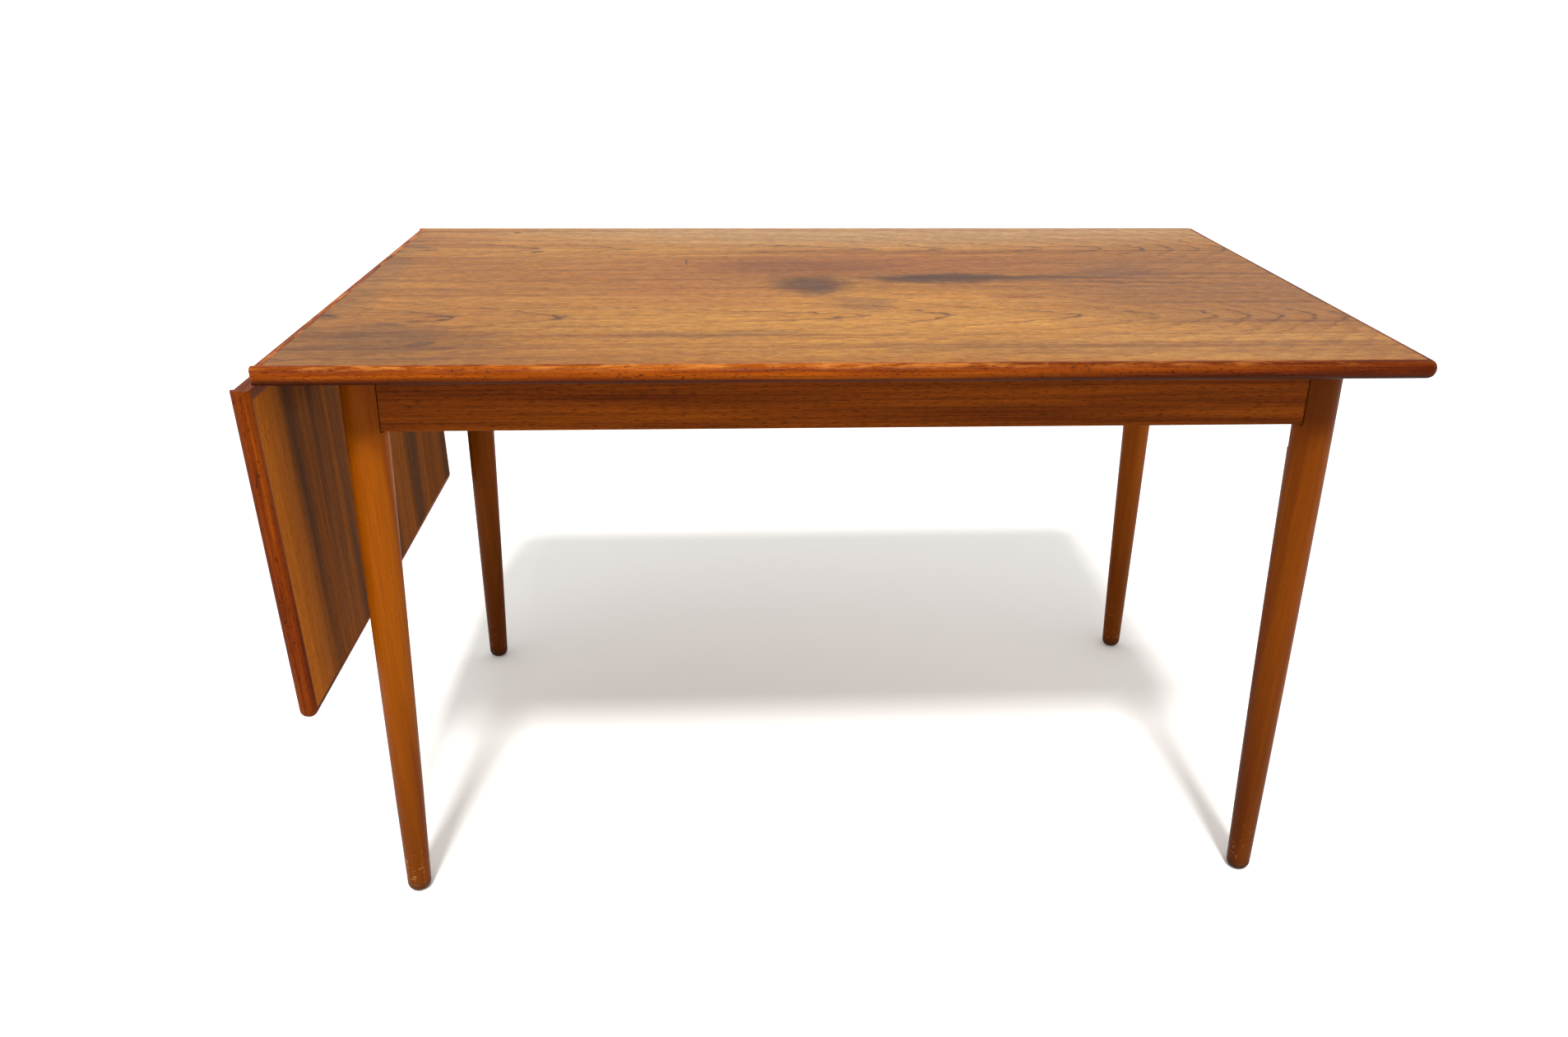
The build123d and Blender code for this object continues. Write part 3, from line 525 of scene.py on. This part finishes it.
# Screws and bolts, in mm. A head is headRadius wide; it has a side wall, rim high, and a dome over it,
# and a countersunk one narrows to the shank over cone. The shank starts at the height inHead, and the
# thread's ridges stand thread deep.
screws = {
    "brass": {"headRadius": 3.35, "rim": 0.0, "dome": 0.0, "cone": 1.5, "slotWidth": 0.8,
              "slotDepth": 0.8, "radius": 1.65, "thread": 0.4, "pitch": 1.5, "length": 15.0,
              "inHead": -0.7, "sides": 10},
    "steel": {"headRadius": 4.0, "rim": 1.1, "dome": 1.5, "cone": 0.0, "slotWidth": 1.0,
              "slotDepth": 1.3, "radius": 1.65, "thread": 0.4, "pitch": 1.8, "length": 28.0,
              "inHead": 0.4, "sides": 10},
    "bolt": {"radius": 3.95, "thread": 0.55, "pitch": 1.6, "sides": 18},     # real pitch is 1.25
}
wingNut = {"bore": 3.9, "base": 6.5, "crown": 5.4, "height": 8.0, "chamfer": 0.8, "span": 16.6,
           "rise": 5.2, "low": 3.7, "halfHeight": 2.7, "halfThick": 1.5}


def slottedHead(screw):
    # Across the slot x = R sin(a) and along it y = t R cos(a). The top is rim + dome (1 - r^2 / R^2), less
    # the slot's depth inside the slot; the underside drops by the cone as r falls to the shank's radius.
    radius, half = screw["headRadius"], screw["slotWidth"] / 2
    edge = math.asin(half / radius)
    steps = 8                                    # from the rim to the slot, on each side
    left = np.linspace(-math.pi / 2, -edge, steps)
    right = np.linspace(edge, math.pi / 2, steps)
    a = np.concatenate((left, [-edge, 0.0, edge], right))   # the slot's walls have two points each
    slot = np.zeros(len(a))
    slot[steps:steps + 3] = screw["slotDepth"]
    t = np.linspace(-1, 1, 9)
    x = (radius * np.sin(a))[:, None] + 0 * t
    y = (radius * np.cos(a))[:, None] * t
    r = np.hypot(x, y)
    top = screw["rim"] + screw["dome"] * (1 - (r / radius) ** 2) - slot[:, None]
    under = -screw["cone"] * np.clip((radius - r) / (radius - screw["radius"]), 0, 1)
    upper = np.stack((x, y, np.maximum(top, under + 0.05)), axis=-1)
    lower = np.stack((x, y, under), axis=-1)[:, ::-1]
    return np.concatenate((upper, lower, upper[:, :1]), axis=1)


def threadedRod(rod, start, length):
    # r = radius less a triangle wave of z / pitch - angle / 2 pi, down from start, ending in a point
    turns = length / rod["pitch"]
    z = np.linspace(0, length, int(4 * turns) + 1)[:, None]
    angle = np.linspace(0, 2 * math.pi, rod["sides"] + 1)
    wave = np.abs(2 * np.mod(z / rod["pitch"] - angle / (2 * math.pi), 1) - 1)
    point = np.clip((length - z) / rod["radius"], 0, 1)
    r = (rod["radius"] - rod["thread"] * wave) * point * (z > 0)
    z = np.where(z > 0, z, z[1])
    return np.stack((r * np.cos(angle), r * np.sin(angle), start - z + 0 * r), axis=-1)


def wingNutShape(nut):
    # The hub is a ring's section turned about the bolt. A wing is an oval, carried outwards along a line
    # that rises, whose size falls to nothing at its tip as sqrt(1 - s^6).
    bore, base, crown, height, chamfer = (nut[k] for k in ("bore", "base", "crown", "height", "chamfer"))
    section = np.array([
        (bore, 0), (base, 0), (base, chamfer), (crown, height - chamfer),
        (crown - chamfer, height), (bore, height), (bore, 0)])
    angle = np.linspace(0, 2 * math.pi, 25)
    radius, level = section[:, :1], section[:, 1:]
    hub = np.stack((radius * np.cos(angle), radius * np.sin(angle), level + 0 * angle), axis=-1)
    s = np.linspace(0, 1, 15)[:, None]
    around = np.linspace(0, 2 * math.pi, 17)
    size = np.sqrt(1 - s ** 6) * (s > 0)
    root = crown - 1                             # each wing starts inside the hub
    out = root + (nut["span"] - root) * s
    thick = nut["halfThick"] * (1 - 0.3 * s) * size * np.cos(around)
    high = nut["low"] + nut["rise"] * s ** 1.3 + nut["halfHeight"] * (1 + 0.2 * s) * size * np.sin(around)
    wing = np.stack((out + 0 * thick, thick, high), axis=-1)
    return [hub, wing, wing * (-1, -1, 1)]


def solidsOf(name):
    # the corner points of each separate solid of a node: the lowest number spreads along the edges
    copy = bmesh.new()
    copy.from_mesh(nodes[name].data)
    bmesh.ops.remove_doubles(copy, verts=copy.verts, dist=1e-6)
    merged = bpy.data.meshes.new(name)
    copy.to_mesh(merged)
    copy.free()
    points = np.empty(3 * len(merged.vertices), dtype=np.float32)
    merged.vertices.foreach_get("co", points)
    ends = np.empty(2 * len(merged.edges), dtype=np.int32)
    merged.edges.foreach_get("vertices", ends)
    bpy.data.meshes.remove(merged)
    first, second = ends.reshape(-1, 2).T
    label = np.arange(len(points) // 3)
    settled = False
    while not settled:
        before = label.copy()
        low = np.minimum(label[first], label[second])
        np.minimum.at(label, first, low)
        np.minimum.at(label, second, low)
        settled = (label == before).all()
    return [points.reshape(-1, 3)[label == one].astype(float) for one in np.unique(label)]


def axesOf(points):
    # middle of a solid and its three directions, the longest first
    middle = points.mean(axis=0)
    return middle, np.linalg.svd(points - middle, full_matrices=False)[2]


def placed(grid, origin, side, axis, turn=0.0):
    # mm in a fitting's own axes to metres in the table's, turned about the fitting's axis
    x = side * math.cos(turn) + np.cross(axis, side) * math.sin(turn)
    return origin + grid / 1000 @ np.array((x, np.cross(axis, x), axis))


def makePiece(name, grids, material, body, node):
    # one mesh from grids of points; points within 2 micrometres are merged and faces turned outwards
    vertices, faces, start = [], [], 0
    for grid in grids:
        index = np.arange(grid[..., 0].size).reshape(grid.shape[:2]) + start
        around = (index[:-1, :-1], index[:-1, 1:], index[1:, 1:], index[1:, :-1])
        faces.append(np.stack(around, axis=-1).reshape(-1, 4))
        vertices.append(grid.reshape(-1, 3))
        start += index.size
    mesh = bpy.data.meshes.new(name)
    mesh.from_pydata(np.concatenate(vertices).tolist(), [], np.concatenate(faces).tolist())
    shell = bmesh.new()
    shell.from_mesh(mesh)
    bmesh.ops.remove_doubles(shell, verts=shell.verts, dist=2e-6)
    bmesh.ops.dissolve_degenerate(shell, edges=shell.edges, dist=1e-6)
    bmesh.ops.recalc_face_normals(shell, faces=shell.faces)
    shell.to_mesh(mesh)
    shell.free()
    mesh.shade_smooth()
    mesh.set_sharp_from_angle(angle=math.radians(35))
    mesh.materials.append(material)
    piece = bpy.data.objects.new(name, mesh)
    bpy.context.scene.collection.objects.link(piece)
    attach(piece, body)
    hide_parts(node)


def screwsFor(node, screw):
    # one slotted screw for each solid of a node, its head where the solid is widest
    grids = []
    for number, points in enumerate(solidsOf(node)):
        middle, (axis, side, _) = axesOf(points)
        height = (points - middle) @ axis
        spread = np.linalg.norm(points - middle - height[:, None] * axis, axis=1)
        axis = axis * np.sign(height[spread > spread.max() * 0.95].mean())
        top = ((points - middle) @ axis).max() - (screw["rim"] + screw["dome"]) / 1000
        origin = (points.min(axis=0) + points.max(axis=0)) / 2
        origin = origin + axis * (middle - origin + axis * top).dot(axis)
        turn = 2.4 * number                      # each screw has stopped at an angle of its own
        shank = threadedRod(screw, screw["inHead"], screw["length"] + screw["inHead"])
        grids.append(placed(slottedHead(screw), origin, side, axis, turn))
        grids.append(placed(shank, origin, side, axis, turn))
    return grids


metals = {"brass": (agedBrass, "hinge_brass"), "steel": (zincSteel, "zinc_steel")}
screwNodes = [   # the new piece, the node it stands for, the kind of screw and the body
    ("topHingeScrews", "top_hinge_screws", "brass", "table"),
    ("leafHingeScrews", "leaf_hinge_screws", "brass", "leaf"),
    ("cornerBlockScrews", "corner_block_screws", "steel", "table"),
    ("topButtonScrews", "top_button_screws", "steel", "table"),
]
for name, node, kind, body in screwNodes:
    metal, slot = metals[kind]
    makePiece(name, screwsFor(node, screws[kind]), metal, body, node)

# Hanger bolts and their wing nuts point to the middle of the table; each nut keeps its solid's turn
middleOfTable = np.array([(low + high) / 2 for low, high in zip(*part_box("top_core"))])
level = (1, 1, 0)
bolts, nuts = [], []
for points in solidsOf("hanger_bolts"):
    middle, (axis, side, _) = axesOf(points)
    axis = axis * np.sign(axis @ ((middleOfTable - middle) * level))
    reach = (points - middle) @ axis
    rod = threadedRod(screws["bolt"], 0.0, 1000 * (reach.max() - reach.min()))
    bolts.append(placed(rod, middle + axis * reach.max(), side, axis))
for points in solidsOf("wing_nuts"):
    middle, (side, axis, _) = axesOf(points)     # a wing nut is longest from wing to wing
    axis = axis * np.sign(axis @ ((middleOfTable - middle) * level))
    base = middle + axis * ((points - middle) @ axis).min()
    nuts.extend(placed(grid, base, side, axis) for grid in wingNutShape(wingNut))
makePiece("hangerBolts", bolts, zincSteel, "table", "hanger_bolts")
makePiece("wingNuts", nuts, zincSteel, "table", "wing_nuts")
print("fittings done")

# A plain studio: a pale floor, a high soft key from in front and a low fill
studio = {
    "camera": (-0.1141, -1.5178, 1.0788),
    "yaw": 2.99, "pitch": 27.34, "roll": 0.56,   # degrees
    "lens": 26.77, "shift": (-0.005, 0.040),
    "floor": 60.0, "floorColour": "#f8f6f2", "floorRoughness": 0.85,
    "horizon": 1.05, "sky": 0.88, "skyFrom": 0.15, "skyTo": 0.40,   # heights as sines of the elevation
}


def lookAlong(yaw, pitch, roll):
    # rotation of a camera that looks along +Y, turned right, tipped down and rolled clockwise
    yaw, pitch, roll = (math.radians(a) for a in (yaw, pitch, roll))
    level = math.cos(pitch)
    forward = Vector((math.sin(yaw) * level, math.cos(yaw) * level, -math.sin(pitch)))
    across = Vector((math.cos(yaw), -math.sin(yaw), 0))
    above = across.cross(forward)
    right = across * math.cos(roll) + above * math.sin(roll)
    up = above * math.cos(roll) - across * math.sin(roll)
    return Matrix((right, up, -forward)).transposed()


camera = bpy.data.cameras.new("camera")
camera.lens = studio["lens"]
camera.sensor_width = 36
camera.shift_x, camera.shift_y = studio["shift"]
cameraObject = bpy.data.objects.new("camera", camera)
turned = lookAlong(studio["yaw"], studio["pitch"], studio["roll"]).to_4x4()
cameraObject.matrix_world = Matrix.Translation(studio["camera"]) @ turned
bpy.context.scene.collection.objects.link(cameraObject)
bpy.context.scene.camera = cameraObject

half = studio["floor"] / 2
floorMesh = bpy.data.meshes.new("floor")
corners = [(-half, -half, 0), (half, -half, 0), (half, half, 0), (-half, half, 0)]
floorMesh.from_pydata(corners, [], [(0, 1, 2, 3)])
floor = bpy.data.objects.new("floor", floorMesh)
bpy.context.scene.collection.objects.link(floor)
floorMaterial = bpy.data.materials.new("paintedStudioFloor")
floorMaterial.use_nodes = True
floorShader = floorMaterial.node_tree.nodes["Principled BSDF"]
floorShader.inputs["Base Color"].default_value = linear(studio["floorColour"])
floorShader.inputs["Roughness"].default_value = studio["floorRoughness"]
floorMesh.materials.append(floorMaterial)

# lamps: elevation and turn from the front in degrees, how soft in degrees, and strength
lamps = {
    "key": {"elevation": 57.5, "turn": 3, "soft": 8, "power": 2.95},
    "fill": {"elevation": 20, "turn": -6, "soft": 25, "power": 0.3},
}
for name, lamp in lamps.items():
    light = bpy.data.lights.new(name, "SUN")
    light.angle = math.radians(lamp["soft"])
    light.energy = lamp["power"]
    holder = bpy.data.objects.new(name, light)
    aim = -(lookAlong(lamp["turn"], lamp["elevation"], 0).col[2])
    holder.rotation_euler = aim.to_track_quat("-Z", "Y").to_euler()
    bpy.context.scene.collection.objects.link(holder)

world = bpy.data.worlds.new("studio")
world.use_nodes = True
sky = world.node_tree
elevation = addNode(sky, "SeparateXYZ", [addNode(sky, "TexCoord")], out=2)
glow = addNode(sky, "MapRange", [
    elevation, studio["skyFrom"], studio["skyTo"], studio["horizon"], studio["sky"]],
    interpolation_type="SMOOTHSTEP")
sky.links.new(glow, sky.nodes["Background"].inputs["Strength"])
sky.nodes["Background"].inputs["Color"].default_value = grey(1.0)
bpy.context.scene.world = world
bpy.context.scene.view_settings.view_transform = "Standard"
print("studio done")
